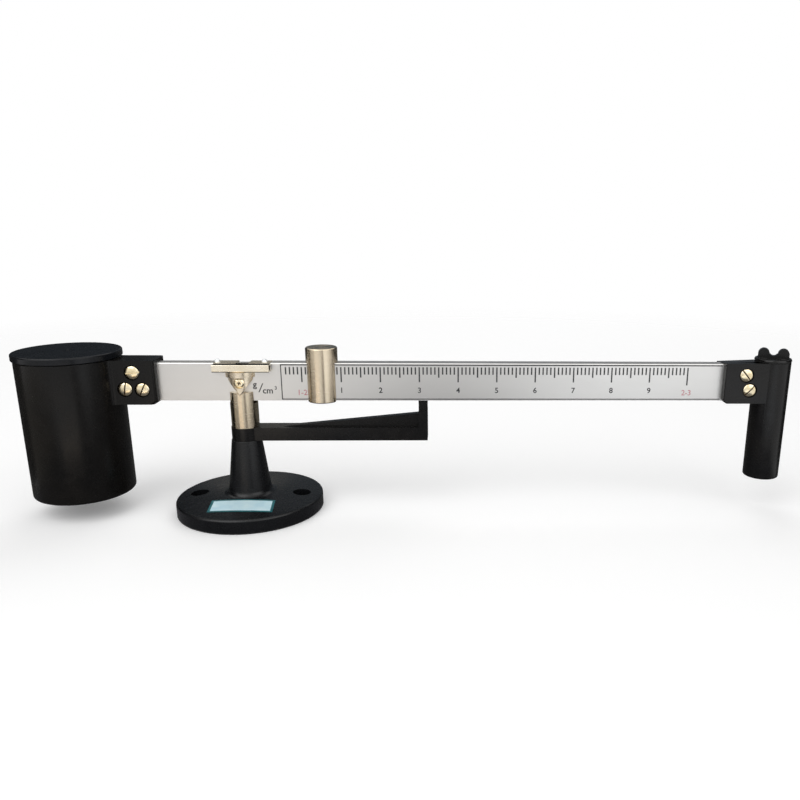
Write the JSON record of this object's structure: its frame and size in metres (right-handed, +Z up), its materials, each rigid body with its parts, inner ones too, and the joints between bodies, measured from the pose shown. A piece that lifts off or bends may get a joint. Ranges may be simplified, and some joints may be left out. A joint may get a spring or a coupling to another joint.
{
  "type": "mud balance",
  "caption": "Beam balance on a round foot: a lidded cup on one end, a shot-filled tail tube on the other, and a rider that slides along the graduated beam to weigh drilling mud.",
  "frame": {"origin": "centre of the foot's underside, straight under the knife line", "axes": "+X along the beam towards the tail tube, +Y to the back, +Z up"},
  "size_m": [0.4779, 0.0906, 0.1056],
  "materials": {
    "black_casting": "satin black enamel",
    "black_moulding": "semi-gloss moulded black",
    "cup_moulding": "semi-gloss moulded black",
    "lid_moulding": "semi-gloss moulded black",
    "satin_aluminium": "satin anodised",
    "plated_brass": "brushed nickel plate on brass",
    "bright_brass": "turned brass",
    "zinc_steel": "zinc plated",
    "lead": "dull grey",
    "vial_glass": "clear",
    "level_liquid": "tinted liquid",
    "stopper": "matte",
    "black_rubber": "matte"
  },
  "bodies": {
    "stand": {"base": "black_casting", "column_washer": "zinc_steel", "column_bolt": "zinc_steel", "rest_arm": "black_moulding", "knife_seat": "plated_brass"},
    "beam": {"beam_bar": "satin_aluminium", "mud_cup": "cup_moulding", "cup_screws": "bright_brass", "balance_tube": "black_moulding", "tube_screws": "bright_brass", "lead_shot": "lead", "knife_blocks": "plated_brass", "knife_screws": "plated_brass", "level_holder": "plated_brass", "level_vial": "vial_glass", "vial_liquid": "level_liquid", "vial_ends": "stopper", "level_screws": "plated_brass"},
    "rider": {"rider": "plated_brass"},
    "lid": {"cup_lid": "lid_moulding"},
    "seal": {"plug_washer": "black_rubber"},
    "plug": {"balance_plug": "black_moulding"}
  },
  "joints": [
    {"name": "beam_tilt", "type": "hinge", "parent": "stand", "child": "beam", "pos_m": [0, 0, 0.07625], "axis": [0, 1, 0], "range_deg": [-5.5, 0]},
    {"name": "rider_slide", "type": "slide", "parent": "beam", "child": "rider", "axis": [1, 0, 0], "range_m": [-0.012, 0.2376]},
    {"name": "lid_lift", "type": "slide", "parent": "beam", "child": "lid", "axis": [0, 0, 1], "range_m": [0, 0.04]},
    {"name": "seal_rise", "type": "slide", "parent": "beam", "child": "seal", "axis": [0, 0, 1], "range_m": [0, 0.0083]},
    {"name": "plug_turn", "type": "hinge", "parent": "seal", "child": "plug", "pos_m": [0.33265, 0, 0.09745], "axis": [0, 0, 1], "range_deg": [0, 1980]}
  ],
  "couplings": [
    {"joint": "seal_rise", "follows": "plug_turn", "m_per_rad": 0.00023873}
  ]
}
